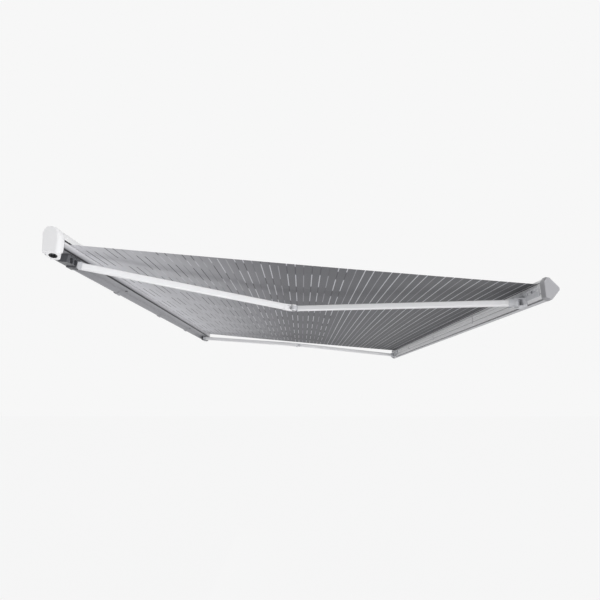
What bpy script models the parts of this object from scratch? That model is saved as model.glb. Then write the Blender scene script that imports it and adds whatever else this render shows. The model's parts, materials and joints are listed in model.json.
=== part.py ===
# Folding arm awning: a cassette on the wall, a canvas on a roller, two folding arms and a front bar.
# Metres. X runs along the wall, the awning projects towards -Y, and Z is up.
# Sections are drawn as (out, up): out is the distance from the wall, up is the height above
# the cassette's lower edge. The row's origin is the middle of the wall plate's back face.
import math

import bmesh
import bpy
from mathutils import Matrix, Vector

# Main sizes
HALF_WIDTH = 2.0
ORIGIN_UP = 0.075
SLOPE = 0.09
FACE_GAP = 0.0005
FIT_GAP = 0.0003

# Cassette, from its ends inwards
CAP_LENGTH = 0.039
END_PLATE_THICK = 0.005
ROLLER_INSET = 0.05
CANVAS_INSET = 0.005
CAP_INNER = HALF_WIDTH - CAP_LENGTH
END_PLATE_OUTER = CAP_INNER - FACE_GAP
END_PLATE_INNER = END_PLATE_OUTER - END_PLATE_THICK
PROFILE_HALF = END_PLATE_INNER - FACE_GAP
ROLLER_HALF = PROFILE_HALF - ROLLER_INSET
CAP_CENTRE_OUT = 0.057
TRAY_UNDER = 0.0335
TRAY_THICK = 0.003
LIP_OUT = 0.1062
LIP_UP = 0.0866
ROLLER_OUT = 0.057
ROLLER_UP = 0.083
TUBE_RADIUS = 0.0345
TUBE_WALL_THICK = 0.002
TUBE_BORE = TUBE_RADIUS - TUBE_WALL_THICK
ROLL_INNER = TUBE_RADIUS + FACE_GAP
ROLL_THICK = 0.0022
ROLL_RADIUS = ROLL_INNER + ROLL_THICK
GUDGEON_RADIUS = 0.010
BEARING_HOLE = GUDGEON_RADIUS + FIT_GAP
WALL_BRACKET_X = (-1.0, 0.0, 1.0)
WALL_BRACKET_WIDTH = 0.1
CLIP_WIDTH = 0.05

# Winding eye under the crank end
GEAR_DEPTH = 0.0236
EYE_INSET = 0.007
EYE_X = -(CAP_INNER + EYE_INSET)
EYE_OUT = 0.060
EYE_RECESS_OUT = 0.026
EYE_RECESS_ALONG = 0.0165
SPINDLE_RADIUS = 0.005

# Canvas
CANVAS_HALF = ROLLER_HALF - CANVAS_INSET
CANVAS_THICK = 0.001
CANVAS_BEND_OUT = LIP_OUT - 0.0022
CANVAS_BEND_UP = LIP_UP + CANVAS_THICK / 2 + 0.00084

# Front bar
BAR_CAP_LENGTH = 0.040
BAR_HALF = HALF_WIDTH - BAR_CAP_LENGTH
BAR_REAR_OUT = 2.912
BAR_CENTRE = (0.041, -0.0495)
KEDER_DEPTH = 0.0285
KEDER_OUT = BAR_REAR_OUT + KEDER_DEPTH
KEDER_RADIUS = 0.003
CANVAS_END_OUT = KEDER_OUT - KEDER_RADIUS - 0.0007
RIB_X = (-1.0, 0.0, 1.0)

# Folding arms, in a plane that slopes down with the canvas
PIVOT_INSET = 0.24
PIVOT_X = HALF_WIDTH - PIVOT_INSET
SHOULDER_OUT = 0.075
WRIST_STANDOFF = 0.042
WRIST_OUT = BAR_REAR_OUT - WRIST_STANDOFF
ARM_SPARE = 0.10185
ELBOW_OFFSET = 0.0235
ELBOW_DROP = 0.040
UPPER_HALF = 0.0215
FORE_HALF = 0.0195
TUBE_WALL = 0.0024
INSERT_GAP = 0.0021
UPPER_INSERT = UPPER_HALF - TUBE_WALL - INSERT_GAP
FORE_INSERT = FORE_HALF - TUBE_WALL - INSERT_GAP
BRACKET_BACK = 0.030
KNUCKLE_HALF = UPPER_HALF + FIT_GAP
SHOULDER_SLOT_HALF = KNUCKLE_HALF + FACE_GAP
WRIST_SLOT_HALF = FORE_HALF + FACE_GAP
LUG_THICK = 0.0062
SHOULDER_BRACKET_HALF = SHOULDER_SLOT_HALF + LUG_THICK
WRIST_BRACKET_HALF = WRIST_SLOT_HALF + LUG_THICK
PIN_HEAD = 0.0043
SHOULDER_LUG = 0.0235
WRIST_LUG = 0.0225
PIN_RADIUS = 0.008
PIN_HOLE = PIN_RADIUS + FIT_GAP
ELBOW_PIN_RADIUS = 0.006
ELBOW_PIN_HOLE = ELBOW_PIN_RADIUS + FIT_GAP
TONGUE_HALF = 0.0135
TONGUE_SLOT_HALF = TONGUE_HALF + FACE_GAP
SLOPE_ANGLE = math.atan(SLOPE)
BRACKET_RISE = SHOULDER_BRACKET_HALF * math.cos(SLOPE_ANGLE) + BRACKET_BACK * math.sin(SLOPE_ANGLE)
SHOULDER_UP = TRAY_UNDER - 0.0004 - BRACKET_RISE

for old in list(bpy.data.objects):
    bpy.data.objects.remove(old, do_unlink=True)

parts = bpy.data.collections.new("canvas awning")
cutters = bpy.data.collections.new("cutters")
bpy.context.scene.collection.children.link(parts)
bpy.context.scene.collection.children.link(cutters)

SMOOTH_UNDER = math.radians(35)
ALONG_WALL = Vector((1.0, 0.0, 0.0))
OUTWARD = Vector((0.0, -math.cos(SLOPE_ANGLE), -math.sin(SLOPE_ANGLE)))
PIN_AXIS = Vector((0.0, -math.sin(SLOPE_ANGLE), math.cos(SLOPE_ANGLE)))


def at(x, out, up):
    """A point of the row from its place along the wall, its distance from it and its height."""
    return Vector((x, -out, up - ORIGIN_UP))


def canvas_up(out):
    """Height of the canvas at a distance from the wall."""
    return CANVAS_BEND_UP - SLOPE * (out - CANVAS_BEND_OUT)


def from_bar(points):
    """Outline on the front bar: out from its rear face and up from its keder rod."""
    rod_up = canvas_up(KEDER_OUT)
    return [(BAR_REAR_OUT + out, rod_up + up) for out, up in points]


def frame(origin, forward):
    """Local frame with x along forward, z along the arm pins."""
    across = PIN_AXIS.cross(forward)
    columns = Matrix((forward, across, PIN_AXIS)).transposed().to_4x4()
    return Matrix.Translation(origin) @ columns


def empty(name, matrix):
    holder = bpy.data.objects.new(name, None)
    holder.empty_display_size = 0.05
    parts.objects.link(holder)
    holder.matrix_world = matrix
    return holder


def place(x, y, z):
    return Matrix.Translation((x, y, z))


def across(x):
    """Frame of a section at x: its x is out from the wall and its y is up."""
    return Matrix(((0, 0, -1, x), (-1, 0, 0, 0), (0, 1, 0, -ORIGIN_UP), (0, 0, 0, 1)))


def facing(origin, axis):
    """Frame at a point with z along an axis."""
    return Matrix.Translation(origin) @ axis.to_track_quat("Z", "Y").to_matrix().to_4x4()


def strip(path, thick):
    """Outline of a bent strip from its middle line."""
    left = []
    right = []
    points = [Vector(p) for p in path]
    for i, point in enumerate(points):
        before = points[max(i - 1, 0)]
        after = points[min(i + 1, len(points) - 1)]
        one = (point - before).normalized() if i > 0 else (after - point).normalized()
        two = (after - point).normalized() if i < len(points) - 1 else one
        tangent = (one + two).normalized()
        normal = Vector((-tangent.y, tangent.x))
        reach = thick / 2 / max(0.5, normal.dot(Vector((-one.y, one.x))))
        left.append(tuple(point + normal * reach))
        right.append(tuple(point - normal * reach))
    return left + right[::-1]


def arc(centre_x, centre_y, radius, first, last, steps):
    """Points on a circle from one angle to another, in degrees."""
    points = []
    for k in range(steps + 1):
        angle = math.radians(first + (last - first) * k / steps)
        points.append((centre_x + radius * math.cos(angle), centre_y + radius * math.sin(angle)))
    return points


def circle(radius, steps):
    return arc(0.0, 0.0, radius, 0, 360, steps)[:-1]


def extruded(loops, half):
    """Mesh of a flat outline with its holes, from a filled 2D curve, half to each side."""
    curve = bpy.data.curves.new("outline", "CURVE")
    curve.dimensions = "2D"
    curve.fill_mode = "BOTH"
    curve.extrude = half
    for loop in loops:
        spline = curve.splines.new("POLY")
        spline.points.add(len(loop) - 1)
        for point, (x, y) in zip(spline.points, loop):
            point.co = (x, y, 0.0, 1.0)
        spline.use_cyclic_u = True
    drawing = bpy.data.objects.new("outline", curve)
    bpy.context.scene.collection.objects.link(drawing)
    graph = bpy.context.evaluated_depsgraph_get()
    mesh = bpy.data.meshes.new_from_object(drawing.evaluated_get(graph))
    bpy.data.objects.remove(drawing, do_unlink=True)
    shape = bmesh.new()
    shape.from_mesh(mesh)
    bmesh.ops.remove_doubles(shape, verts=shape.verts, dist=0.000002)
    bmesh.ops.recalc_face_normals(shape, faces=shape.faces)
    shape.to_mesh(mesh)
    shape.free()
    return mesh


def cylinder(radius, start, end, segments=20):
    """Mesh of a round bar along z."""
    mesh = bpy.data.meshes.new("bar")
    shape = bmesh.new()
    middle = place(0, 0, (start + end) / 2)
    bmesh.ops.create_cone(
        shape,
        cap_ends=True,
        segments=segments,
        radius1=radius,
        radius2=radius,
        depth=end - start,
        matrix=middle,
    )
    shape.to_mesh(mesh)
    shape.free()
    return mesh


def block(low, high):
    """Mesh of a block between two corners."""
    mesh = bpy.data.meshes.new("block")
    shape = bmesh.new()
    size = [b - a for a, b in zip(low, high)]
    middle = [(a + b) / 2 for a, b in zip(low, high)]
    bmesh.ops.create_cube(shape, size=1.0, matrix=place(*middle) @ Matrix.Diagonal((*size, 1.0)))
    shape.to_mesh(mesh)
    shape.free()
    return mesh


def half_profile(outline):
    """Mesh of a turned shape's profile, from the top of its axis down its outer side."""
    rows = [(0.0, outline[0][1])] + list(outline) + [(0.0, outline[-1][1])]
    mesh = bpy.data.meshes.new("profile")
    mesh.from_pydata([(radius, 0.0, z) for radius, z in rows], [(i, i + 1) for i in range(len(rows) - 1)], [])
    return mesh


def turn(thing, steps):
    """Turns a profile about its object's z axis."""
    screw = thing.modifiers.new("turn", "SCREW")
    screw.axis = "Z"
    screw.angle = math.tau
    screw.steps = steps
    screw.render_steps = steps
    screw.use_merge_vertices = True
    screw.merge_threshold = 0.00001


def lofted(rings):
    """Mesh of a domed cap through rings with the same number of points."""
    shape = bmesh.new()
    rows = [[shape.verts.new(point) for point in ring] for ring in rings]
    count = len(rings[0])
    for first, second in zip(rows, rows[1:]):
        for i in range(count):
            j = (i + 1) % count
            shape.faces.new((first[i], first[j], second[j], second[i]))
    shape.faces.new(rows[0])
    shape.faces.new(rows[-1])
    bmesh.ops.recalc_face_normals(shape, faces=shape.faces)
    mesh = bpy.data.meshes.new("cap")
    shape.to_mesh(mesh)
    shape.free()
    return mesh


def finish(name, mesh, matrix, holder, colour, metallic=0.0, roughness=0.45):
    """Puts a body in its place under its own parent, with its own material."""
    thing = bpy.data.objects.new(name, mesh)
    mesh.name = name
    parts.objects.link(thing)
    thing.parent = holder
    thing.matrix_local = matrix if holder is None else holder.matrix_world.inverted() @ matrix
    material = bpy.data.materials.new(name)
    material.use_nodes = True
    surface = material.node_tree.nodes["Principled BSDF"]
    surface.inputs["Base Color"].default_value = (*colour, 1.0)
    surface.inputs["Metallic"].default_value = metallic
    surface.inputs["Roughness"].default_value = roughness
    mesh.materials.clear()
    mesh.materials.append(material)
    if mesh.polygons:
        mesh.shade_smooth()
        mesh.set_sharp_from_angle(angle=SMOOTH_UNDER)
    return thing


def combine(thing, mesh, matrix, operation):
    """Adds or takes away a helper body with a boolean."""
    name = thing.name + "_" + operation.lower() + str(len(thing.modifiers))
    tool = bpy.data.objects.new(name, mesh)
    mesh.name = name
    cutters.objects.link(tool)
    tool.parent = thing.parent
    holder = thing.parent
    tool.matrix_local = matrix if holder is None else holder.matrix_world.inverted() @ matrix
    tool.hide_render = True
    tool.display_type = "WIRE"
    change = thing.modifiers.new(name, "BOOLEAN")
    change.operation = operation
    change.solver = "EXACT"
    change.object = tool


def profile(name, loops, x0, x1, holder, colour, metallic=0.0, roughness=0.45):
    """A straight profile along the wall from (out, up) outlines."""
    mesh = extruded(loops, abs(x1 - x0) / 2)
    return finish(name, mesh, across((x0 + x1) / 2), holder, colour, metallic, roughness)


def combine_profile(thing, outline, x0, x1, operation):
    combine(thing, extruded([outline], abs(x1 - x0) / 2), across((x0 + x1) / 2), operation)


WHITE = (0.80, 0.80, 0.81)
DARK = (0.09, 0.09, 0.10)
CAST = (0.30, 0.30, 0.32)
STEEL = (0.55, 0.55, 0.56)
BLACK = (0.02, 0.02, 0.02)
CLOTH = (0.22, 0.22, 0.24)

# Wall brackets hook over the back profile, and clips hold its lower rail
bracket_outline = [
    (0.0, -0.0035),
    (0.006, -0.0035),
    (0.006, 0.1465),
    (0.0112, 0.1465),
    (0.0112, 0.1425),
    (0.0142, 0.1425),
    (0.0142, 0.1515),
    (0.0, 0.1515),
]
clip_outline = [
    (0.0063, -0.0003),
    (0.0223, -0.0003),
    (0.0333, 0.0198),
    (0.0360, 0.0183),
    (0.0245, -0.0035),
    (0.0063, -0.0035),
]
for side_name, x in zip(("left", "centre", "right"), WALL_BRACKET_X):
    half = WALL_BRACKET_WIDTH / 2
    profile("wall_bracket_" + side_name, [bracket_outline], x - half, x + half, None, STEEL, 0.8)
    half = CLIP_WIDTH / 2
    profile("bracket_clip_" + side_name, [clip_outline], x - half, x + half, None, DARK, 0.3)

# Extruded profiles of the cassette
back_outline = [
    (0.0063, 0.004),
    (0.0095, 0.0),
    (0.022, 0.0),
    (0.040, TRAY_UNDER),
    (LIP_OUT + 0.0023, TRAY_UNDER),
    (LIP_OUT + 0.0053, TRAY_UNDER + TRAY_THICK),
    (LIP_OUT + 0.0053, LIP_UP - 0.0051),
    (LIP_OUT + 0.0035, LIP_UP - 0.0011),
    (LIP_OUT, LIP_UP),
    (LIP_OUT - 0.0017, LIP_UP - 0.0018),
    (LIP_OUT + 0.0023, LIP_UP - 0.0061),
    (LIP_OUT + 0.0023, TRAY_UNDER + TRAY_THICK),
    (0.0385, TRAY_UNDER + TRAY_THICK),
    (0.0205, 0.003),
    (0.0105, 0.003),
    (0.0105, 0.1382),
    (0.0255, 0.1382),
    (0.0255, 0.1412),
    (0.0105, 0.1412),
    (0.0105, 0.146),
    (0.0063, 0.146),
]
profile("back_profile", [back_outline], -PROFILE_HALF, PROFILE_HALF, None, WHITE)
lid_path = [
    (0.024, 0.1416),
    (0.024, 0.152),
    (0.028, 0.161),
    (0.038, 0.1668),
    (0.052, 0.1665),
    (0.066, 0.161),
    (0.080, 0.151),
    (0.0925, 0.136),
    (0.1015, 0.118),
    (0.106, 0.103),
    (LIP_OUT, LIP_UP + 0.0119),
]
profile("lid_profile", [strip(lid_path, 0.003)], -PROFILE_HALF, PROFILE_HALF, None, WHITE)
brush_low = LIP_UP + 0.0034
brush_high = LIP_UP + 0.0115
brush_outline = [
    (LIP_OUT - 0.0015, brush_low),
    (LIP_OUT + 0.0015, brush_low),
    (LIP_OUT + 0.0015, brush_high),
    (LIP_OUT - 0.0015, brush_high),
]
profile("brush_strip", [brush_outline], -CANVAS_HALF, CANVAS_HALF, None, BLACK, 0.0, 0.9)

# End plates carry the roller and close the profiles
end_outline = [
    (0.0066, 0.001),
    (0.0215, 0.001),
    (0.0395, 0.034),
    (0.1105, 0.034),
    (0.1105, 0.085),
    (0.1065, 0.108),
    (0.098, 0.131),
    (0.084, 0.150),
    (0.068, 0.162),
    (0.050, 0.1675),
    (0.032, 0.166),
    (0.018, 0.156),
    (0.0066, 0.140),
]
cap_outline = [
    (0.005, 0.005),
    (0.095, 0.004),
    (0.1115, 0.012),
    (0.1140, 0.034),
    (0.1125, 0.085),
    (0.108, 0.112),
    (0.097, 0.136),
    (0.082, 0.154),
    (0.062, 0.1675),
    (0.045, 0.1705),
    (0.030, 0.168),
    (0.012, 0.152),
    (0.001, 0.128),
]
cap_face = [
    (0.0175, 0.002),
    (0.074, 0.003),
    (0.084, 0.012),
    (0.0885, 0.034),
    (0.088, 0.085),
    (0.0855, 0.110),
    (0.080, 0.132),
    (0.070, 0.150),
    (0.056, 0.1625),
    (0.042, 0.167),
    (0.024, 0.1655),
    (0.009, 0.150),
    (0.001, 0.128),
]
foot_outline = [
    (0.0435, 0.0331),
    (0.0228, -0.0014),
    (0.0205, -0.0060),
    (0.0240, -0.0135),
    (0.0330, -0.0195),
    (0.0520, -0.0225),
    (0.0780, -0.0245),
    (0.0860, -0.0215),
    (0.0905, -0.0130),
    (0.0910, 0.0331),
]
FOOT_INNER = CAP_INNER - 0.0205
FOOT_OUTER = HALF_WIDTH - 0.0035
foot_slant = [
    (FOOT_INNER - 0.0100, -0.0310),
    (FOOT_OUTER + 0.0140, -0.0310),
    (FOOT_OUTER + 0.0140, 0.0186),
]
bush_slant = [(along, up + 0.0012) for along, up in foot_slant]
cavity_outline = [
    (0.022, 0.045),
    (0.095, 0.045),
    (0.095, 0.130),
    (0.070, 0.150),
    (0.040, 0.150),
    (0.022, 0.130),
]
eye_frame = Matrix.Translation(at(EYE_X, EYE_OUT, 0.0))


def oval(gap, low, high):
    """Mesh of the eye's oval recess, or of what fills it with a gap all round."""
    outline = [(x * (EYE_RECESS_ALONG - gap), y * (EYE_RECESS_OUT - gap)) for x, y in circle(1.0, 36)]
    mesh = extruded([outline], (high - low) / 2)
    mesh.transform(place(0, 0, (low + high) / 2))
    return mesh


def sideways(outline, side, half):
    """Mesh of an outline drawn along the wall and up, half to each side of its middle."""
    return extruded([[(side * along, up) for along, up in outline]], half)


def sideways_frame(out):
    return Matrix(((1, 0, 0, 0), (0, 0, -1, -out), (0, 1, 0, -ORIGIN_UP), (0, 0, 0, 1)))


for side_name, side in (("left", -1), ("right", 1)):
    inner = side * END_PLATE_INNER
    outer = side * END_PLATE_OUTER
    end_plate = profile("end_plate_" + side_name, [end_outline], inner, outer, None, STEEL, 0.8)
    roller_end = facing(at(0.0, ROLLER_OUT, ROLLER_UP), ALONG_WALL * side)
    bearing_hole = cylinder(BEARING_HOLE, END_PLATE_INNER - 0.01, END_PLATE_OUTER + 0.01)
    combine(end_plate, bearing_hole, roller_end, "DIFFERENCE")
    rings = []
    for step in range(8):
        share = (step / 7) ** 2
        x = side * (CAP_INNER + (HALF_WIDTH - CAP_INNER) * math.sin(step / 7 * math.pi / 2))
        ring = []
        for (out, up), (face_out, face_up) in zip(cap_outline, cap_face):
            ring.append(at(x, out + (face_out - out) * share, up + (face_up - up) * share))
        rings.append(ring)
    cap = finish("end_cap_" + side_name, lofted(rings), Matrix(), None, WHITE)
    combine_profile(cap, foot_outline, side * FOOT_INNER, side * FOOT_OUTER, "UNION")
    combine(cap, sideways(foot_slant, side, 0.08), sideways_frame(CAP_CENTRE_OUT), "DIFFERENCE")
    if side < 0:
        cavity_end = CAP_INNER + GEAR_DEPTH + 0.0014
        combine_profile(cap, cavity_outline, FACE_GAP - CAP_INNER + 0.0105, -cavity_end, "DIFFERENCE")
        combine(cap, oval(0.0, -0.04, 0.024), eye_frame, "DIFFERENCE")
        combine(cap, cylinder(SPINDLE_RADIUS + 0.001, 0.020, 0.050), eye_frame, "DIFFERENCE")

# Black bush that lines the mouth of the eye's recess
bush = finish("eye_bush", oval(FIT_GAP, -0.028, 0.0237), eye_frame, None, BLACK, 0.0, 0.8)
combine(bush, cylinder(0.0150, -0.04, 0.0210, 28), eye_frame, "DIFFERENCE")
combine(bush, cylinder(SPINDLE_RADIUS + 0.001, 0.015, 0.030), eye_frame, "DIFFERENCE")
combine(bush, sideways(bush_slant, -1, 0.08), sideways_frame(EYE_OUT), "DIFFERENCE")

# Worm gear case in the crank end cap
gear_outline = [
    (0.028, 0.0455),
    (0.089, 0.0455),
    (0.089, 0.118),
    (0.075, 0.132),
    (0.042, 0.132),
    (0.028, 0.118),
]
gear_inner = CAP_INNER - 0.0001
gear_case = profile("gear_case", [gear_outline], -gear_inner - GEAR_DEPTH, -gear_inner, None, CAST, 0.6)
combine(gear_case, cylinder(SPINDLE_RADIUS + 0.0006, 0.040, 0.0605), eye_frame, "DIFFERENCE")

# Winding eye, turned by the crank, on a spindle that goes up into the gear case
eye_holder = empty("winding_eye_axis", eye_frame)
eye_outline = [
    (SPINDLE_RADIUS, 0.0585),
    (SPINDLE_RADIUS, 0.0202),
    (0.0130, 0.0202),
    (0.0130, -0.0015),
    (0.009, -0.0015),
    (0.009, 0.018),
]
eye = finish("winding_eye", half_profile(eye_outline), eye_frame, eye_holder, STEEL, 0.9)
turn(eye, 24)
combine(eye, block((-0.02, -0.003, -0.008), (0.02, 0.003, 0.006)), eye_frame, "DIFFERENCE")

# Roller with its canvas
roller_frame = across(0.0) @ place(ROLLER_OUT, ROLLER_UP, 0.0)
roller_holder = empty("roller_axis", roller_frame)
tube_loops = [circle(TUBE_RADIUS, 40), circle(TUBE_BORE, 40)]
finish("roller_tube", extruded(tube_loops, ROLLER_HALF), roller_frame, roller_holder, STEEL, 0.9)
roll_loops = [circle(ROLL_RADIUS, 40), circle(ROLL_INNER, 40)]
finish("fabric_roll", extruded(roll_loops, CANVAS_HALF), roller_frame, roller_holder, CLOTH, 0.0, 0.9)
plug_outline = [
    (GUDGEON_RADIUS, END_PLATE_OUTER),
    (GUDGEON_RADIUS, ROLLER_HALF + 0.004),
    (TUBE_RADIUS, ROLLER_HALF + 0.004),
    (TUBE_RADIUS, ROLLER_HALF + FIT_GAP),
    (TUBE_BORE - FIT_GAP, ROLLER_HALF + FIT_GAP),
    (TUBE_BORE - FIT_GAP, ROLLER_HALF - 0.021),
    (TUBE_BORE - 0.0025, ROLLER_HALF - 0.025),
]
for side_name, side in (("left", -1), ("right", 1)):
    plug_frame = facing(at(0.0, ROLLER_OUT, ROLLER_UP), ALONG_WALL * side)
    plug_mesh = half_profile(plug_outline)
    plug = finish("roller_plug_" + side_name, plug_mesh, plug_frame, roller_holder, CAST, 0.5)
    turn(plug, 28)

# Canvas from the roller over the front lip to the front bar
lip = Vector((CANVAS_BEND_OUT, canvas_up(CANVAS_BEND_OUT)))
centre = Vector((ROLLER_OUT, ROLLER_UP))
reach = lip - centre
clear_radius = ROLL_RADIUS + CANVAS_THICK / 2 + FIT_GAP
tangent_angle = math.atan2(reach.y, reach.x) + math.acos(clear_radius / reach.length)
start = centre + clear_radius * Vector((math.cos(tangent_angle), math.sin(tangent_angle)))
canvas_path = [tuple(start), tuple(lip), (CANVAS_END_OUT, canvas_up(CANVAS_END_OUT))]
canvas_loops = [strip(canvas_path, CANVAS_THICK)]
profile("canvas", canvas_loops, -CANVAS_HALF, CANVAS_HALF, None, CLOTH, 0.0, 0.9)

# Arm geometry in the sloping plane
SPAN = (WRIST_OUT - SHOULDER_OUT) / math.cos(SLOPE_ANGLE)
ARM_LENGTH = SPAN / 2 + ARM_SPARE
REST_ANGLE = math.acos(SPAN / 2 / ARM_LENGTH)
STRAIGHT = math.sqrt(ARM_LENGTH**2 - ELBOW_OFFSET**2)
LINE_ANGLE = REST_ANGLE + math.atan2(ELBOW_OFFSET, STRAIGHT)
DROP_ANGLE = math.atan2(ELBOW_DROP, STRAIGHT)
TUBE_LENGTH = STRAIGHT / math.cos(DROP_ANGLE)
shoulder_line = at(0.0, SHOULDER_OUT, SHOULDER_UP)
wrist_line = shoulder_line + OUTWARD * SPAN
TURN_TO_LINE = Matrix(((0, 0, 1, 0), (1, 0, 0, 0), (0, 1, 0, 0), (0, 0, 0, 1)))


def rounded_square(half, corner):
    """Outline of a square tube with round corners."""
    points = []
    for k, (a, b) in enumerate(((1, 1), (-1, 1), (-1, -1), (1, -1))):
        points += arc(a * (half - corner), b * (half - corner), corner, 90 * k, 90 * k + 90, 4)
    return points


def arm_tube(half, start, end):
    """Mesh and frame of an arm's tube between two distances along its line."""
    loops = [rounded_square(half, 0.008), rounded_square(half - TUBE_WALL, 0.0056)]
    return extruded(loops, (end - start) / 2), place((start + end) / 2, 0, 0) @ TURN_TO_LINE


def mirrored(outline, side):
    return [(x, side * y) for x, y in outline]


def bolt_head(radius, start, end):
    return [(radius * 0.78, end), (radius, end - 0.0016), (radius, start)]


for side_name, side in (("left", 1), ("right", -1)):
    shoulder = shoulder_line - ALONG_WALL * side * PIVOT_X
    forward = ALONG_WALL * side * math.sin(LINE_ANGLE) + OUTWARD * math.cos(LINE_ANGLE)
    upper_frame = frame(shoulder, forward)
    upper_holder = empty("upper_arm_" + side_name + "_axis", upper_frame)
    upper_line = upper_frame @ Matrix.Rotation(DROP_ANGLE, 4, "Y")
    elbow = upper_frame @ Vector((STRAIGHT, -side * ELBOW_OFFSET, -ELBOW_DROP))
    back = OUTWARD * math.cos(LINE_ANGLE) - ALONG_WALL * side * math.sin(LINE_ANGLE)
    fore_frame = frame(elbow, back)
    fore_holder = empty("forearm_" + side_name + "_axis", fore_frame)
    middle = side * ELBOW_OFFSET
    fore_line = fore_frame @ place(0, middle, 0) @ Matrix.Rotation(-DROP_ANGLE, 4, "Y")
    pin_hole = cylinder(PIN_HOLE, -0.04, 0.04)

    # Shoulder bracket, fixed under the cassette
    bracket_frame = Matrix.Translation(shoulder) @ Matrix.Rotation(SLOPE_ANGLE, 4, "X")
    outline = [(-0.130, BRACKET_BACK), (-0.130, -0.024), (-0.118, -0.0335), (-0.032, -0.0335)]
    outline += arc(0.0, 0.0, SHOULDER_LUG, -120, 20, 8)
    outline += [(SHOULDER_LUG, BRACKET_BACK)]
    bracket_loops = [[(side * x, y) for x, y in outline]]
    bracket_mesh = extruded(bracket_loops, SHOULDER_BRACKET_HALF)
    bracket = finish("shoulder_bracket_" + side_name, bracket_mesh, bracket_frame, None, DARK, 0.4)
    slot_x = sorted((side * -0.0265, side * 0.06))
    slot_low = (slot_x[0], -0.08, -SHOULDER_SLOT_HALF)
    slot = block(slot_low, (slot_x[1], UPPER_HALF + 0.0035, SHOULDER_SLOT_HALF))
    combine(bracket, slot, bracket_frame, "DIFFERENCE")
    trim_x = sorted((side * -0.0400, side * -0.20))
    trim = block((trim_x[0], -0.08, -0.06), (trim_x[1], 0.08, 0.008 - SHOULDER_BRACKET_HALF))
    combine(bracket, trim, bracket_frame, "DIFFERENCE")
    combine(bracket, pin_hole.copy(), bracket_frame, "DIFFERENCE")
    for number, x in enumerate((-0.052, -0.098)):
        bolt_frame = bracket_frame @ facing(Vector((side * x, 0.0, 0.0)), Vector((0, -1, 0)))
        combine(bracket, cylinder(0.0185, 0.012, 0.05, 24), bolt_frame, "DIFFERENCE")
        head = half_profile(bolt_head(0.0115, 0.0123, 0.0222))
        bolt = finish(f"shoulder_bolt_{side_name}_{number + 1}", head, bolt_frame, None, STEEL, 0.9, 0.3)
        turn(bolt, 12)
    pin_seat = -SHOULDER_BRACKET_HALF - FIT_GAP
    pin_outline = [
        (PIN_RADIUS, SHOULDER_BRACKET_HALF + 0.0002),
        (PIN_RADIUS, pin_seat),
        (0.0125, pin_seat),
        (0.0125, pin_seat - PIN_HEAD),
    ]
    pin = finish("shoulder_pin_" + side_name, half_profile(pin_outline), bracket_frame, None, STEEL, 0.9, 0.3)
    turn(pin, 20)

    # Upper arm: knuckle, tube and fork
    knuckle_outline = arc(0.0, 0.0, UPPER_HALF, 90, 270, 12)
    knuckle_outline += [(0.0425, -UPPER_HALF), (0.0425, UPPER_HALF)]
    knuckle_mesh = extruded([knuckle_outline], KNUCKLE_HALF)
    knuckle = finish("shoulder_knuckle_" + side_name, knuckle_mesh, upper_frame, upper_holder, CAST, 0.5)
    insert = block((0.035, -UPPER_INSERT, -UPPER_INSERT), (0.095, UPPER_INSERT, UPPER_INSERT))
    combine(knuckle, insert, upper_line, "UNION")
    combine(knuckle, pin_hole.copy(), upper_frame, "DIFFERENCE")
    tube_mesh, tube_place = arm_tube(UPPER_HALF, 0.0436, TUBE_LENGTH - 0.0732)
    finish("upper_arm_" + side_name, tube_mesh, upper_line @ tube_place, upper_holder, WHITE)
    fork_outline = [(STRAIGHT - 0.072, -UPPER_HALF), (STRAIGHT - 0.0225, -UPPER_HALF)]
    fork_outline += arc(STRAIGHT, -ELBOW_OFFSET, 0.0195, -150, 0, 9)
    fork_outline += [
        (STRAIGHT + 0.018, -0.008),
        (STRAIGHT + 0.011, 0.008),
        (STRAIGHT + 0.000, 0.0175),
        (STRAIGHT - 0.012, UPPER_HALF),
        (STRAIGHT - 0.072, UPPER_HALF),
    ]
    fork_frame = upper_frame @ place(0, 0, -ELBOW_DROP)
    fork_mesh = extruded([mirrored(fork_outline, side)], UPPER_HALF)
    fork = finish("elbow_fork_" + side_name, fork_mesh, fork_frame, upper_holder, WHITE)
    insert_low = (TUBE_LENGTH - 0.125, -UPPER_INSERT, -UPPER_INSERT)
    insert_high = (TUBE_LENGTH - 0.063, UPPER_INSERT, UPPER_INSERT)
    combine(fork, block(insert_low, insert_high), upper_line, "UNION")
    slot_y = sorted((side * (-ELBOW_OFFSET - 0.04), side * (-ELBOW_OFFSET + 0.0207)))
    slot_low = (STRAIGHT - 0.0500, slot_y[0], -TONGUE_SLOT_HALF)
    slot_high = (STRAIGHT + 0.06, slot_y[1], TONGUE_SLOT_HALF)
    combine(fork, block(slot_low, slot_high), fork_frame, "DIFFERENCE")
    elbow_frame = fork_frame @ place(STRAIGHT, -side * ELBOW_OFFSET, 0)
    combine(fork, cylinder(ELBOW_PIN_HOLE, -0.04, 0.04), elbow_frame, "DIFFERENCE")
    pin_seat = -UPPER_HALF - FIT_GAP
    pin_outline = [
        (ELBOW_PIN_RADIUS, UPPER_HALF + 0.002),
        (ELBOW_PIN_RADIUS, pin_seat),
        (0.0105, pin_seat),
        (0.0105, pin_seat - 0.0037),
    ]
    pin_mesh = half_profile(pin_outline)
    pin = finish("elbow_pin_" + side_name, pin_mesh, elbow_frame, upper_holder, STEEL, 0.9, 0.3)
    turn(pin, 16)

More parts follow.
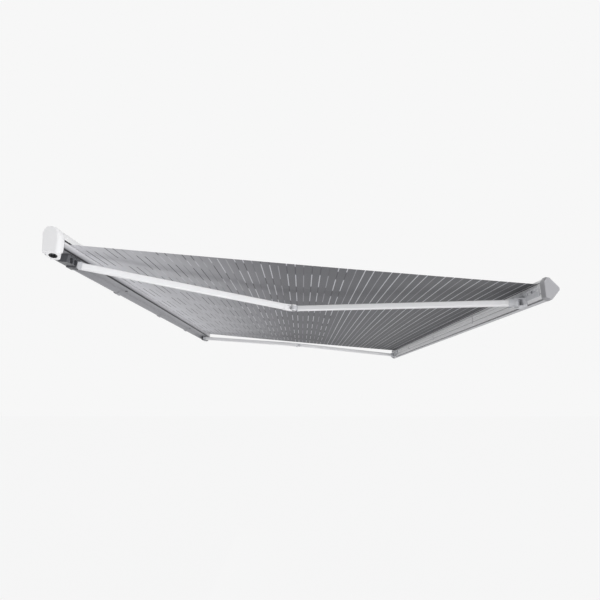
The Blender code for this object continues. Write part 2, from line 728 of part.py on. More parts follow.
    # Forearm: tongue, tube and wrist knuckle
    tongue_outline = arc(0.0, 0.0, 0.019, 95, 355, 13)
    tongue_outline += [(0.0200, 0.0045), (0.030, 0.0065), (0.030, 0.041), (0.0218, 0.041)]
    tongue_mesh = extruded([mirrored(tongue_outline, side)], TONGUE_HALF)
    tongue = finish("elbow_tongue_" + side_name, tongue_mesh, fore_frame, fore_holder, WHITE)
    body_y = sorted((middle - FORE_HALF, middle + FORE_HALF))
    tongue_body = block((0.0218, body_y[0], -FORE_HALF), (0.0308, body_y[1], FORE_HALF))
    combine(tongue, tongue_body, fore_frame, "UNION")
    insert = block((0.028, -FORE_INSERT, -FORE_INSERT), (0.088, FORE_INSERT, FORE_INSERT))
    combine(tongue, insert, fore_line, "UNION")
    combine(tongue, cylinder(ELBOW_PIN_HOLE, -0.04, 0.04), fore_frame, "DIFFERENCE")
    tube_mesh, tube_place = arm_tube(FORE_HALF, 0.0320, TUBE_LENGTH - 0.0436)
    finish("forearm_" + side_name, tube_mesh, fore_line @ tube_place, fore_holder, WHITE)
    wrist_outline = arc(STRAIGHT, middle, 0.019, -90, 90, 12)
    wrist_outline += [(STRAIGHT - 0.0425, middle + FORE_HALF), (STRAIGHT - 0.0425, middle - FORE_HALF)]
    wrist_frame = fore_frame @ place(0, 0, ELBOW_DROP)
    wrist_mesh = extruded([wrist_outline], FORE_HALF)
    wrist = finish("wrist_knuckle_" + side_name, wrist_mesh, wrist_frame, fore_holder, CAST, 0.5)
    insert_low = (TUBE_LENGTH - 0.095, -FORE_INSERT, -FORE_INSERT)
    insert_high = (TUBE_LENGTH - 0.035, FORE_INSERT, FORE_INSERT)
    combine(wrist, block(insert_low, insert_high), fore_line, "UNION")
    combine(wrist, pin_hole.copy(), wrist_frame @ place(STRAIGHT, middle, 0), "DIFFERENCE")

# Front bar
bar_holder = empty("front_bar_axis", Matrix.Translation(wrist_line - ALONG_WALL * PIVOT_X))
bar_outline = from_bar([
    (0.0240, 0.0180),
    (0.0335, 0.0160),
    (0.0840, -0.0440),
    (0.0865, -0.0520),
    (0.0845, -0.0610),
    (0.0380, -0.1135),
    (0.0320, -0.1165),
    (0.0260, -0.1155),
    (0.0107, -0.1085),
    (0.0132, -0.1031),
    (0.0060, -0.0997),
    (0.0034, -0.1052),
    (0.0020, -0.1045),
    (0.0, -0.1015),
    (0.0, -0.0735),
    (0.0020, -0.0715),
    (0.0020, -0.0690),
    (0.0, -0.0670),
    (0.0, -0.0440),
    (0.0013, -0.0425),
    (0.0, -0.0410),
    (0.0, -0.0260),
    (0.0025, -0.0235),
    (0.0200, -0.0235),
    (0.0200, -0.0020),
    (0.0225, -0.0020),
    (0.0225, -0.0050),
    (0.0342, -0.0050),
    (0.0342, 0.0062),
    (0.0225, 0.0062),
    (0.0225, 0.0033),
    (0.0200, 0.0033),
    (0.0200, 0.0120),
])
chamber_outline = from_bar([
    (0.0460, -0.0050),
    (0.0805, -0.0460),
    (0.0828, -0.0520),
    (0.0815, -0.0590),
    (0.0360, -0.1103),
    (0.0315, -0.1130),
    (0.0185, -0.1070),
    (0.0165, -0.1010),
    (0.0150, -0.0960),
    (0.0048, -0.0960),
    (0.0048, -0.0270),
    (0.0236, -0.0270),
    (0.0236, -0.0085),
    (0.0380, -0.0085),
])
profile("front_bar", [bar_outline, chamber_outline], -BAR_HALF, BAR_HALF, bar_holder, WHITE)
bar_cap_outline = from_bar([
    (-0.0015, -0.0060),
    (0.0185, 0.0195),
    (0.0345, 0.0175),
    (0.0855, -0.0430),
    (0.0880, -0.0520),
    (0.0860, -0.0620),
    (0.0390, -0.1150),
    (0.0320, -0.1180),
    (0.0250, -0.1170),
    (0.0005, -0.1055),
    (-0.0015, -0.1015),
])
centre_out, centre_up = from_bar([BAR_CENTRE])[0]
for side_name, side in (("left", -1), ("right", 1)):
    rings = []
    for step in range(7):
        share = step / 6
        shrink = math.sqrt(1 - 0.20 * share**3)
        x = side * (BAR_HALF + FIT_GAP + (BAR_CAP_LENGTH - FIT_GAP) * math.sin(share * math.pi / 2))
        ring = []
        for out, up in bar_cap_outline:
            moved_out = centre_out + (out - centre_out) * shrink
            moved_up = centre_up + (up - centre_up) * shrink
            ring.append(at(x, moved_out, moved_up))
        rings.append(ring)
    finish("bar_cap_" + side_name, lofted(rings), Matrix(), bar_holder, WHITE)

# Keder rod that holds the canvas in the bar's groove
keder_frame = facing(at(0.0, KEDER_OUT, canvas_up(KEDER_OUT)), ALONG_WALL)
keder_mesh = cylinder(KEDER_RADIUS, -CANVAS_HALF, CANVAS_HALF, 12)
finish("keder_rod", keder_mesh, keder_frame, bar_holder, BLACK, 0.0, 0.6)

# Ribs across the back of the bar at its quarters
rib_outline = from_bar([(-0.0080, -0.0880), (-0.0003, -0.0880), (-0.0003, -0.0250), (-0.0050, -0.0250)])
for number, x in enumerate(RIB_X):
    profile(f"bar_rib_{number + 1}", [rib_outline], x - 0.007, x + 0.007, bar_holder, WHITE)

# Wrist brackets on the back of the front bar
base_outline = from_bar([(-0.0063, -0.0825), (0.0130, -0.0825), (0.0130, -0.0250), (-0.0063, -0.0250)])
trim_outline = from_bar([(-0.0003, 0.0655), (0.2880, 0.0655), (0.2880, -0.2345), (-0.0003, -0.2345)])
hole_outline = from_bar([(-0.0220, -0.0525), (0.0180, -0.0525), (0.0180, -0.0395), (-0.0220, -0.0395)])
for side_name, side in (("left", 1), ("right", -1)):
    wrist_point = wrist_line - ALONG_WALL * side * PIVOT_X
    bracket_frame = Matrix.Translation(wrist_point) @ Matrix.Rotation(SLOPE_ANGLE, 4, "X")
    lug = arc(0.0, 0.0, WRIST_LUG, 0, 180, 10)
    lug += [(-0.047, -0.034), (-0.047, -0.061), (0.047, -0.061), (0.047, -0.034)]
    lug_mesh = extruded([lug], WRIST_BRACKET_HALF)
    bracket = finish("wrist_bracket_" + side_name, lug_mesh, bracket_frame, bar_holder, CAST, 0.5)
    slot_low = (-0.09, -FORE_HALF - 0.005, -WRIST_SLOT_HALF)
    slot = block(slot_low, (0.09, 0.05, WRIST_SLOT_HALF))
    combine(bracket, slot, bracket_frame, "DIFFERENCE")
    x_low, x_high = sorted((-side * (PIVOT_X + 0.190), -side * (PIVOT_X - 0.170)))
    combine_profile(bracket, base_outline, x_low, x_high, "UNION")
    combine_profile(bracket, trim_outline, x_low - 0.2, x_high + 0.2, "DIFFERENCE")
    for x in (PIVOT_X - 0.120, PIVOT_X + 0.085, PIVOT_X + 0.165):
        combine_profile(bracket, hole_outline, -side * (x - 0.019), -side * (x + 0.019), "DIFFERENCE")
    combine(bracket, cylinder(PIN_HOLE, -0.04, 0.04), bracket_frame, "DIFFERENCE")
    for number, x in enumerate((PIVOT_X - 0.157, PIVOT_X + 0.125)):
        bolt_out, bolt_up = from_bar([(-0.0063, -0.046)])[0]
        bolt_frame = facing(at(-side * x, bolt_out, bolt_up), Vector((0, 1, 0)))
        head = half_profile(bolt_head(0.0085, 0.0003, 0.0068))
        bolt = finish(f"wrist_bolt_{side_name}_{number + 1}", head, bolt_frame, bar_holder, STEEL, 0.9, 0.3)
        turn(bolt, 12)
    pin_seat = -WRIST_BRACKET_HALF - FIT_GAP
    pin_outline = [
        (PIN_RADIUS, WRIST_BRACKET_HALF + 0.0028),
        (PIN_RADIUS, pin_seat),
        (0.0125, pin_seat),
        (0.0125, pin_seat - PIN_HEAD),
    ]
    pin_mesh = half_profile(pin_outline)
    pin = finish("wrist_pin_" + side_name, pin_mesh, bracket_frame, bar_holder, STEEL, 0.9, 0.3)
    turn(pin, 20)

bpy.context.view_layer.update()
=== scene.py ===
# Folding arm awning, seen from below its crank end: powder coat, striped canvas, cast brackets
import json
import math

import bpy
from mathutils import Matrix, Vector


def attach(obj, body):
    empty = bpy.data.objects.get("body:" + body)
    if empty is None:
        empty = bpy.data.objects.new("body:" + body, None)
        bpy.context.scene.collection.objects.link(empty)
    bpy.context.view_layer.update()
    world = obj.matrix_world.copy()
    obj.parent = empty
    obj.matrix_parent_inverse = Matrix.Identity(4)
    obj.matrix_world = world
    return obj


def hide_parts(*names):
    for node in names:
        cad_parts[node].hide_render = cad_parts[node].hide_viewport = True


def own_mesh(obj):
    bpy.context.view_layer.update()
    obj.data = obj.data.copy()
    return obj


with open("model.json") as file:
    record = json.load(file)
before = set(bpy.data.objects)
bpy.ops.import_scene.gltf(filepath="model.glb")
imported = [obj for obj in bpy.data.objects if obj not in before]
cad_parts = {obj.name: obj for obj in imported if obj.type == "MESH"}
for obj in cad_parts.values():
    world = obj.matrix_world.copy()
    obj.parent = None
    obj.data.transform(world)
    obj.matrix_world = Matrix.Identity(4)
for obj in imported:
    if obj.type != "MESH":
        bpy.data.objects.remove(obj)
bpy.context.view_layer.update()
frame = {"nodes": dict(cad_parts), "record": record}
cad = frame["nodes"]

# Places on the solids that the scene's own pieces and finishes meet, in metres.
# "Out" is the distance from the wall. A level is a height above a line that lies 75 mm below
# the frame's origin, and "up" is the height in the frame.
ORIGIN_LEVEL = 0.075
SLOPE = 0.09
MIDDLE_OUT = 1.5
MIDDLE_LEVEL = -0.0377
ROLLER_OUT = 0.057
ROLLER_LEVEL = 0.083
LIP_OUT = 0.104
TRAY_UNDER_LEVEL = 0.0335
BAR_REAR_OUT = 2.912
KEDER_OUT = 2.9405
CANVAS_END_OUT = 2.9368
CANVAS_HALF = 1.9

# The canvas, in metres
CANVAS_THICK = 0.0006
CANVAS_SAG = 0.006
HEM_SHARE = 0.35
FIRST_ROLL_RADIUS = 0.0354
LAYER_STEP = 0.001
ROLL_TURNS = 1.6
LEAVING_RADIUS = 0.038

# Stripes: a thin one every 53 mm, on the wall's half broken into dashes of 0.1 to 0.3 m
FIRST_STRIPE = 0.323
STRIPE_GAP = 0.05305
STRIPE_WIDTH = 0.0062
DASH_PERIOD = 0.47
SHORT_DASHES_END = 1.0
DASHES_END = 1.86
LIGHT_STRIPE = "c2c2c7"
DARK_STRIPE = "404045"

# Widths of the surfaces' grains, in millimetres. The real peel, cast grain, fibre and thread
# are about 1, 0.5, 0.2 and 0.5 mm, too fine to show, so they are drawn coarser. The film's
# drift, the casting's flow marks, the spangle and the yarn's flecks have their full size.
PEEL = 2.381
FILM = 588.2
CAST_GRAIN = 3.846
CAST_CLOUD = 41.67
SPANGLE = 11.11
FIBRE = 1.667
YARN_FLECK = 1.111
THREAD = 1.9635

# Tones of the canvas by its distance from the wall, painted light and shade: it fades from pale by
# the wall, where light on its underside is painted in, to dark by the front bar
CANVAS_DEPTH = 3.0
CANVAS_PAINTED_LIGHT_TONES = (
    (0.150, "e0e0e4"),
    (0.360, "c4c4c8"),
    (0.501, "bebec2"),
    (0.699, "adadb1"),
    (0.900, "99999d"),
    (1.101, "848488"),
    (1.401, "646468"),
    (2.001, "5a5b5f"),
    (2.550, "565759"),
    (2.910, "4b4c4f"),
)

# Tones of the tray by level, painted light and shade: a grey underside painted as shade, a black
# band of painted shadow at its front corner, and a lip painted paler upwards
TRAY_SPAN = 0.1
TRAY_LOW_UP = -0.09
TRAY_PAINTED_SHADE_TONES = (
    (TRAY_UNDER_LEVEL, "949498"),
    (0.0348, "19191b"),
    (0.0440, "19191b"),
    (0.0475, "8c8c90"),
    (0.0600, "bdbdc0"),
    (0.0830, "e6e6e8"),
)

# Painted shadow lines in narrow grooves of the bar's rear face: from and to behind it, from and to
# above the keder's level, and how dark each one looks
BAR_UNDERSIDE = -0.1010
BAR_GROOVES = (
    (0.0026, 0.0125, -0.1080, -0.0985, 1.0),
    (0.0002, 0.0030, -0.0732, -0.0673, 0.45),
    (0.0002, 0.0030, -0.0436, -0.0414, 0.45),
)


def canvas_height(out):
    """Height of the taut canvas at a distance from the wall."""
    return MIDDLE_LEVEL - SLOPE * (out - MIDDLE_OUT) - ORIGIN_LEVEL


def tone(code):
    """Linear colour of an sRGB hex value."""
    values = [int(code[i : i + 2], 16) / 255 for i in (0, 2, 4)]
    line = [v / 12.92 if v <= 0.04045 else ((v + 0.055) / 1.055) ** 2.4 for v in values]
    return (*line, 1.0)


def per_metre(grain):
    """Scale of a noise whose grains have this width in millimetres."""
    return 1000.0 / grain


def feed(tree, node, sockets):
    """Sets a node's sockets by name or number: a value is set, a node or its socket is linked."""
    for key, value in sockets.items():
        if hasattr(value, "outputs"):
            value = value.outputs[0]
        if hasattr(value, "links"):
            tree.links.new(value, node.inputs[key])
        else:
            node.inputs[key].default_value = value


def add(tree, kind, sockets=None, stops=(), **settings):
    """Adds a shader node with its settings, its sockets and, on a ramp, its stops."""
    node = tree.nodes.new("ShaderNode" + kind)
    for name, value in settings.items():
        setattr(node, name, value)
    feed(tree, node, sockets or {})
    for position, code in stops:
        node.color_ramp.elements.new(position).color = tone(code)
    if stops:
        node.color_ramp.elements.remove(node.color_ramp.elements[-1])
        node.color_ramp.elements.remove(node.color_ramp.elements[0])
    return node


def start_material(name, sockets):
    """New material, with its node tree, its shader and the place on the object."""
    material = bpy.data.materials.new(name)
    material.use_nodes = True
    tree = material.node_tree
    shader = tree.nodes["Principled BSDF"]
    feed(tree, shader, sockets)
    place = add(tree, "TexCoord").outputs["Object"]
    return material, tree, shader, place


def orange_peel(tree, shader, place, roughness):
    """Fine waves of a sprayed or moulded skin, which break up its gloss."""
    peel = add(tree, "TexNoise", {"Vector": place, "Scale": per_metre(PEEL), "Detail": 2.0})
    rough = add(tree, "Math", {0: peel, 1: 0.10, 2: roughness}, operation="MULTIPLY_ADD")
    bump = add(tree, "Bump", {"Height": peel, "Distance": 0.0002, "Strength": 0.35})
    feed(tree, shader, {"Roughness": rough, "Normal": bump})


def satin_skin(name, colour, worn):
    """Powder coat or moulded nylon: a plain satin colour that drifts a little over its length."""
    material, tree, shader, place = start_material(name, {"Metallic": 0.0})
    film = add(tree, "TexNoise", {"Vector": place, "Scale": per_metre(FILM), "Detail": 4.0})
    share = add(tree, "Math", {0: film, 1: 0.5}, operation="MULTIPLY")
    mix = add(tree, "Mix", {0: share, 6: tone(colour), 7: tone(worn)}, data_type="RGBA")
    feed(tree, shader, {"Base Color": mix.outputs[2]})
    orange_peel(tree, shader, place, 0.33)
    return material


def cast_aluminium(name, colour, dark):
    """Die cast aluminium under a thin clear coat: pale grey, cloudy, with a dull grain."""
    material, tree, shader, place = start_material(name, {"Metallic": 0.15, "Roughness": 0.5})
    grain = add(tree, "TexNoise", {"Vector": place, "Scale": per_metre(CAST_GRAIN), "Detail": 5.0})
    cloud = add(tree, "TexNoise", {"Vector": place, "Scale": per_metre(CAST_CLOUD), "Detail": 3.0})
    mix = add(tree, "Mix", {0: cloud, 6: tone(colour), 7: tone(dark)}, data_type="RGBA")
    bump = add(tree, "Bump", {"Height": grain, "Distance": 0.0003, "Strength": 0.5})
    feed(tree, shader, {"Base Color": mix.outputs[2], "Normal": bump})
    return material


def zinc_steel(name, colour, dark):
    """Zinc plated steel: bright metal with a faint mottle of tone and gloss."""
    material, tree, shader, place = start_material(name, {"Metallic": 1.0})
    spangle = add(tree, "TexVoronoi", {"Vector": place, "Scale": per_metre(SPANGLE)})
    cells = spangle.outputs["Distance"]
    mix = add(tree, "Mix", {0: cells, 6: tone(colour), 7: tone(dark)}, data_type="RGBA")
    rough = add(tree, "Math", {0: cells, 1: 0.16, 2: 0.28}, operation="MULTIPLY_ADD")
    feed(tree, shader, {"Base Color": mix.outputs[2], "Roughness": rough})
    return material


def black_nylon(name, colour, dusty):
    """Drawn black nylon of the brush, keder and bush: matt, with a fibrous grain."""
    material, tree, shader, place = start_material(name, {"Metallic": 0.0, "Roughness": 0.7})
    fibre = add(tree, "TexNoise", {"Vector": place, "Scale": per_metre(FIBRE), "Detail": 1.0})
    mix = add(tree, "Mix", {0: fibre, 6: tone(colour), 7: tone(dusty)}, data_type="RGBA")
    bump = add(tree, "Bump", {"Height": fibre, "Distance": 0.0006, "Strength": 0.6})
    feed(tree, shader, {"Base Color": mix.outputs[2], "Normal": bump})
    return material


def tray_painted_shade_coat(name):
    """Powder coated tray with painted light and shade: grey below, a dark band of painted shadow
    and a lip painted paler upwards.
    """
    material, tree, shader, place = start_material(name, {"Metallic": 0.0})
    up = add(tree, "SeparateXYZ", {"Vector": place}).outputs[2]
    raised = add(tree, "Math", {0: up, 1: -TRAY_LOW_UP}, operation="ADD")
    share = add(tree, "Math", {0: raised, 1: 1 / TRAY_SPAN}, operation="MULTIPLY", use_clamp=True)
    low_level = TRAY_LOW_UP + ORIGIN_LEVEL
    stops = [((level - low_level) / TRAY_SPAN, code) for level, code in TRAY_PAINTED_SHADE_TONES]
    ground = add(tree, "ValToRGB", {"Fac": share}, stops)
    feed(tree, shader, {"Base Color": ground})
    orange_peel(tree, shader, place, 0.36)
    return material


def bar_coat(name):
    """Powder coated front bar: white, with painted shade that makes it greyer underneath and
    painted shadow lines in its grooves.
    """
    material, tree, shader, place = start_material(name, {"Metallic": 0.0})
    axes = add(tree, "SeparateXYZ", {"Vector": place}).outputs
    forward = add(tree, "Math", {0: axes[1], 1: -1.0}, operation="MULTIPLY")
    out = add(tree, "Math", {0: forward, 1: BAR_REAR_OUT}, operation="SUBTRACT")
    up = add(tree, "Math", {0: axes[2], 1: canvas_height(KEDER_OUT)}, operation="SUBTRACT")
    # Painted shadow in the grooves
    groove_shadow = 0.0
    for low_out, high_out, low_up, high_up, here in BAR_GROOVES:
        edges = (
            (out, "GREATER_THAN", low_out),
            (out, "LESS_THAN", high_out),
            (up, "GREATER_THAN", low_up),
            (up, "LESS_THAN", high_up),
        )
        for side, test, limit in edges:
            inside = add(tree, "Math", {0: side, 1: limit}, operation=test)
            here = add(tree, "Math", {0: inside, 1: here}, operation="MULTIPLY")
        groove_shadow = add(tree, "Math", {0: groove_shadow, 1: here}, operation="MAXIMUM")
    # Painted shade: the underside is given a greyer tone
    underside_shade = add(tree, "Math", {0: up, 1: BAR_UNDERSIDE}, operation="LESS_THAN")
    coat = add(tree, "Mix", {0: underside_shade, 6: tone("f2f2f3"), 7: tone("c6c6c9")}, data_type="RGBA")
    mix = add(tree, "Mix", {0: groove_shadow, 6: coat.outputs[2], 7: tone("363639")}, data_type="RGBA")
    feed(tree, shader, {"Base Color": mix.outputs[2]})
    orange_peel(tree, shader, place, 0.35)
    return material


def woven_canvas(name):
    """Dyed acrylic yarn in a plain weave: dull cloth with a soft sheen and thin woven stripes."""
    cloth = {"Metallic": 0.0, "Roughness": 0.85, "Sheen Weight": 0.15}
    material, tree, shader, place = start_material(name, cloth)
    sheet = add(tree, "UVMap", uv_map="cloth")
    along, out = add(tree, "SeparateXYZ", {"Vector": sheet}).outputs[0:2]

    # The nearest stripe, counted from the wall, and whether the point lies on it
    beyond = add(tree, "Math", {0: out, 1: FIRST_STRIPE}, operation="SUBTRACT")
    turns = add(tree, "Math", {0: beyond, 1: STRIPE_GAP}, operation="DIVIDE")
    row = add(tree, "Math", {0: turns}, operation="ROUND")
    offset = add(tree, "Math", {0: turns, 1: row}, operation="SUBTRACT")
    share = add(tree, "Math", {0: offset}, operation="ABSOLUTE")
    away = add(tree, "Math", {0: share, 1: STRIPE_GAP}, operation="MULTIPLY")
    line = add(tree, "Math", {0: away, 1: STRIPE_WIDTH / 2}, operation="LESS_THAN")

    # Every third stripe is fainter, and the dashes of three stripes start together
    third = add(tree, "Math", {0: row, 1: 3.0}, operation="FLOORED_MODULO")
    faint = add(tree, "Math", {0: third, 1: 1.5}, operation="GREATER_THAN")
    ease = add(tree, "Math", {0: faint, 1: -0.6, 2: 1.0}, operation="MULTIPLY_ADD")
    thirds = add(tree, "Math", {0: row, 1: 3.0}, operation="DIVIDE")
    group = add(tree, "Math", {0: thirds}, operation="FLOOR")
    chance = add(tree, "TexWhiteNoise", {"W": group}, noise_dimensions="1D")
    dashes = add(tree, "Math", {0: along, 1: DASH_PERIOD}, operation="DIVIDE")
    drift = add(tree, "Math", {0: dashes, 1: chance}, operation="ADD")
    dash = add(tree, "Math", {0: drift}, operation="FRACT")

    # Light and dark parts of a dash, the light ones shorter near the wall
    near = add(tree, "Math", {0: out, 1: SHORT_DASHES_END}, operation="LESS_THAN")
    light_end = add(tree, "Math", {0: near, 1: -0.4, 2: 0.62}, operation="MULTIPLY_ADD")
    dark_start = add(tree, "Math", {0: near, 1: -0.34, 2: 0.66}, operation="MULTIPLY_ADD")
    light = add(tree, "Math", {0: dash, 1: light_end}, operation="LESS_THAN")
    after = add(tree, "Math", {0: dash, 1: dark_start}, operation="GREATER_THAN")
    before = add(tree, "Math", {0: dash, 1: 0.95}, operation="LESS_THAN")
    dark = add(tree, "Math", {0: after, 1: before}, operation="MULTIPLY")

    # Near the front bar the stripes are whole and light
    whole = add(tree, "Math", {0: out, 1: DASHES_END}, operation="GREATER_THAN")
    broken = add(tree, "Math", {0: 1.0, 1: whole}, operation="SUBTRACT")
    light = add(tree, "Math", {0: light, 1: whole}, operation="MAXIMUM")
    dark = add(tree, "Math", {0: dark, 1: broken}, operation="MULTIPLY")

    # Ground colour with the yarn's flecks; the ground is painted light, pale by the wall and dark
    # by the bar
    depth = add(tree, "Math", {0: out, 1: CANVAS_DEPTH}, operation="DIVIDE")
    stops = [(distance / CANVAS_DEPTH, code) for distance, code in CANVAS_PAINTED_LIGHT_TONES]
    ground = add(tree, "ValToRGB", {"Fac": depth}, stops)
    fleck = add(tree, "TexNoise", {"Vector": place, "Scale": per_metre(YARN_FLECK), "Detail": 2.0})
    speckle = add(tree, "Math", {0: fleck, 1: 0.22}, operation="MULTIPLY")
    mix = add(tree, "Mix", {0: speckle, 6: ground, 7: tone("505156")}, data_type="RGBA")

    for part, code in ((light, LIGHT_STRIPE), (dark, DARK_STRIPE)):
        there = add(tree, "Math", {0: line, 1: part}, operation="MULTIPLY")
        strength = add(tree, "Math", {0: there, 1: ease}, operation="MULTIPLY")
        sockets = {0: strength, 6: mix.outputs[2], 7: tone(code)}
        mix = add(tree, "Mix", sockets, data_type="RGBA")

    # At scale 1 the bands of a wave texture are tau / 20 apart
    grid = {"Vector": place, "Scale": math.tau / 20 * per_metre(THREAD)}
    warp = add(tree, "TexWave", grid, bands_direction="X").outputs[1]
    weft = add(tree, "TexWave", grid, bands_direction="Y").outputs[1]
    weave = add(tree, "Math", {0: warp, 1: weft}, operation="MULTIPLY")
    bump = add(tree, "Bump", {"Height": weave, "Distance": 0.0004, "Strength": 0.3})
    feed(tree, shader, {"Base Color": mix.outputs[2], "Normal": bump})
    return material


CANVAS = woven_canvas("striped acrylic canvas")
NYLON = black_nylon("black nylon", "171718", "2b2b2d")
FINISHES = {
    "white_coat": satin_skin("satin white powder coat", "f1f1f2", "e6e6e8"),
    # The tray's grey underside, dark band and paling lip are painted shade and light
    "grey_coat": tray_painted_shade_coat("satin powder coat with painted shade"),
    "cap_grey": satin_skin("light grey moulded nylon", "a2a2a5", "949498"),
    # The dark grey is painted shade: parts in this slot are given it for the shadow they sit in
    "dark_bracket": satin_skin("dark grey coat for painted shade", "55565a", "47484c"),
    "cast_metal": cast_aluminium("die cast aluminium", "dfe0e3", "c4c5c9"),
    "steel": zinc_steel("zinc plated steel", "b9babd", "93959a"),
    "black_trim": NYLON,
    "canvas": CANVAS,
}
for part in frame["record"]["subparts"]:
    thing = cad[part["node"]]
    thing.data.materials.clear()
    thing.data.materials.append(FINISHES[part["material_slot"]])
cad["front_bar"].data.materials[0] = bar_coat("satin white powder coat of the front bar")


def quiet():
    """Nothing selected, so that an operator works on the new piece alone."""
    bpy.ops.object.select_all(action="DESELECT")


def start_sheet(name, across, down):
    """Flat grid one metre square, to be laid out as a strip of canvas."""
    quiet()
    bpy.ops.mesh.primitive_grid_add(x_subdivisions=across, y_subdivisions=down, size=1.0)
    sheet = bpy.context.object
    sheet.name = name
    return sheet


def finish_sheet(sheet, body):
    """Gives a laid out sheet its map in metres, thickness, smooth shading, finish and body."""
    cloth = sheet.data.uv_layers.new(name="cloth")
    for loop in sheet.data.loops:
        point = sheet.data.vertices[loop.vertex_index].co
        cloth.data[loop.index].uv = (point.x, -point.y)
    for other in [layer for layer in sheet.data.uv_layers if layer.name != "cloth"]:
        sheet.data.uv_layers.remove(other)
    bpy.ops.object.modifier_add(type="SOLIDIFY")
    sheet.modifiers[-1].thickness = CANVAS_THICK
    sheet.modifiers[-1].offset = 0.0
    bpy.ops.object.modifier_apply(modifier=sheet.modifiers[-1].name)
    bpy.ops.object.shade_smooth_by_angle(angle=math.radians(40))
    sheet.data.materials.append(CANVAS)
    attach(sheet, body)


# Canvas sheet from the tray's lip to the front bar, with a small sag and tauter hems
canvas = start_sheet("canvas_sheet", 76, 90)
reach = CANVAS_END_OUT - LIP_OUT
for vertex in canvas.data.vertices:
    across = vertex.co.x * 2
    share = vertex.co.y + 0.5
    out = LIP_OUT + reach * share
    sag = CANVAS_SAG * math.sin(math.pi * share) * (1 - HEM_SHARE * across * across)
    vertex.co = (across * CANVAS_HALF, -out, canvas_height(out) - sag)
finish_sheet(canvas, "cassette")
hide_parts("canvas")
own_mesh(canvas)

# The run of canvas inside the cassette, from the roller's top to the lip
inner = start_sheet("canvas_run", 38, 3)
centre = Vector((ROLLER_OUT, ROLLER_LEVEL))
lip = Vector((LIP_OUT, canvas_height(LIP_OUT) + ORIGIN_LEVEL))
to_lip = lip - centre
angle = math.atan2(to_lip.y, to_lip.x) + math.acos(LEAVING_RADIUS / to_lip.length)
leave = centre + LEAVING_RADIUS * Vector((math.cos(angle), math.sin(angle)))
for vertex in inner.data.vertices:
    share = vertex.co.y + 0.5
    out = leave.x + (lip.x - CANVAS_THICK - leave.x) * share
    level = leave.y + (lip.y - leave.y) * share
    vertex.co = (vertex.co.x * 2 * CANVAS_HALF, -out, level - ORIGIN_LEVEL)
finish_sheet(inner, "cassette")

# Canvas rolled on the tube, as a spiral
roll = start_sheet("canvas_on_roller", 38, 72)
for vertex in roll.data.vertices:
    share = vertex.co.y + 0.5
    angle = math.tau * ROLL_TURNS * share
    radius = FIRST_ROLL_RADIUS + LAYER_STEP * ROLL_TURNS * share
    out = ROLLER_OUT + radius * math.cos(angle)
    level = ROLLER_LEVEL + radius * math.sin(angle)
    vertex.co = (vertex.co.x * 2 * CANVAS_HALF, -out, level - ORIGIN_LEVEL)
finish_sheet(roll, "roller")
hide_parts("fabric_roll")

# Small black nylon discs in the tray's underside, near a quarter and three quarters of its width
DISC_OUT = 0.064
DISC_RADIUS = 0.011
DISC_DEPTH = 0.0024
DISC_EDGE = 0.0007
for number, x in enumerate((-0.96, 1.0), start=1):
    quiet()
    bpy.ops.mesh.primitive_cylinder_add(vertices=24, radius=DISC_RADIUS, depth=DISC_DEPTH)
    dark_disc = bpy.context.object
    dark_disc.name = f"tray_dark_disc_{number}"
    bpy.ops.object.modifier_add(type="BEVEL")
    dark_disc.modifiers[-1].width = DISC_EDGE
    dark_disc.modifiers[-1].segments = 2
    bpy.ops.object.modifier_apply(modifier=dark_disc.modifiers[-1].name)
    middle = Vector((x, -DISC_OUT, TRAY_UNDER_LEVEL - DISC_DEPTH / 2 - ORIGIN_LEVEL))
    dark_disc.data.transform(Matrix.Translation(middle))
    bpy.ops.object.shade_smooth_by_angle(angle=math.radians(40))
    dark_disc.data.materials.append(NYLON)
    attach(dark_disc, "cassette")


def rays_to_backdrop(tree):
    """One for rays that show the backdrop: straight, mirrored or through glass."""
    rays = add(tree, "LightPath").outputs
    sockets = {0: rays["Is Camera Ray"], 1: rays["Is Glossy Ray"]}
    seen = add(tree, "Math", sockets, operation="MAXIMUM")
    return add(tree, "Math", {0: seen, 1: rays["Is Transmission Ray"]}, operation="MAXIMUM")


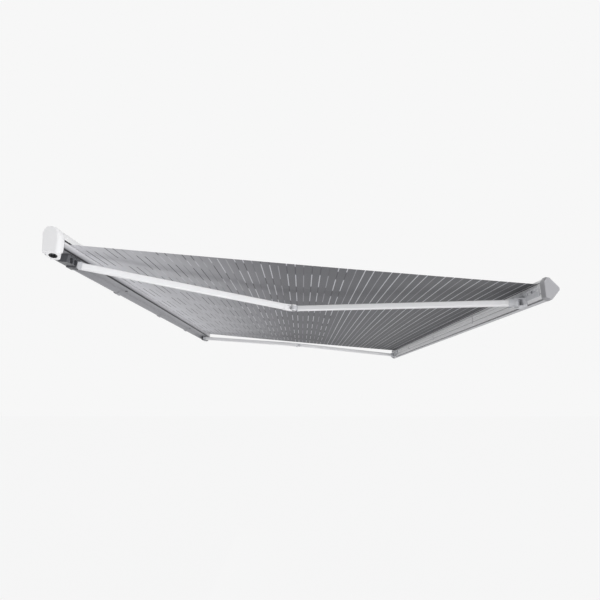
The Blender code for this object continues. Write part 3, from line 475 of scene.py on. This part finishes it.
# Pale floor that keeps a soft shadow and meets the background
quiet()
bpy.ops.mesh.primitive_plane_add(size=60.0, location=(0.0, -1.5, -2.7))
floor = bpy.context.object
floor.name = "floor"
ground = bpy.data.materials.new("pale floor")
ground.use_nodes = True
tree = ground.node_tree
tree.nodes.clear()
glowing = add(tree, "Math", {0: rays_to_backdrop(tree), 1: 0.95}, operation="MULTIPLY")
paint = add(tree, "BsdfDiffuse", {"Color": tone("d9d9da")})
glow = add(tree, "Emission", {"Color": tone("f9f9f9"), "Strength": 1.0})
surface = add(tree, "MixShader", {0: glowing, 1: paint, 2: glow})
add(tree, "OutputMaterial", {"Surface": surface})
floor.data.materials.append(ground)

# Soft light from all round, in front of a pale background
world = bpy.data.worlds.new("studio")
bpy.context.scene.world = world
world.use_nodes = True
tree = world.node_tree
tree.nodes.clear()
soft = add(tree, "Background", {"Color": tone("ffffff"), "Strength": 0.55})
pale = add(tree, "Background", {"Color": tone("f7f7f7"), "Strength": 1.0})
sky = add(tree, "MixShader", {0: rays_to_backdrop(tree), 1: soft, 2: pale})
add(tree, "OutputWorld", {"Surface": sky})


def lamp(name, place, aim, power, size):
    """Broad lamp aimed at a point, unseen itself and in reflections."""
    quiet()
    bpy.ops.object.light_add(type="AREA", location=place)
    light = bpy.context.object
    light.name = name
    light.data.energy = power
    light.data.shape = "RECTANGLE"
    light.data.size, light.data.size_y = size
    light.rotation_euler = (Vector(aim) - Vector(place)).to_track_quat("-Z", "Y").to_euler()
    light.visible_camera = False
    light.visible_glossy = False


lamp("broad key beside the camera", (-7.2, -7.0, -1.9), (-1.5, -1.2, -0.2), 670, (7.0, 4.0))
lamp("soft fill from below at the wall", (-0.6, -0.4, -2.5), (-0.6, -2.0, -0.3), 50, (5.0, 1.4))

# Camera below the awning and beyond its crank end, looking along the wall and up
quiet()
bpy.ops.object.camera_add(location=(-4.2227, -1.5295, -0.8746))
camera = bpy.context.object
camera.rotation_euler = (math.radians(103.042), 0.0, math.radians(-89.761))
camera.data.sensor_width = 36.0
camera.data.lens = 24.182
bpy.context.scene.camera = camera
bpy.context.scene.view_settings.view_transform = "Standard"
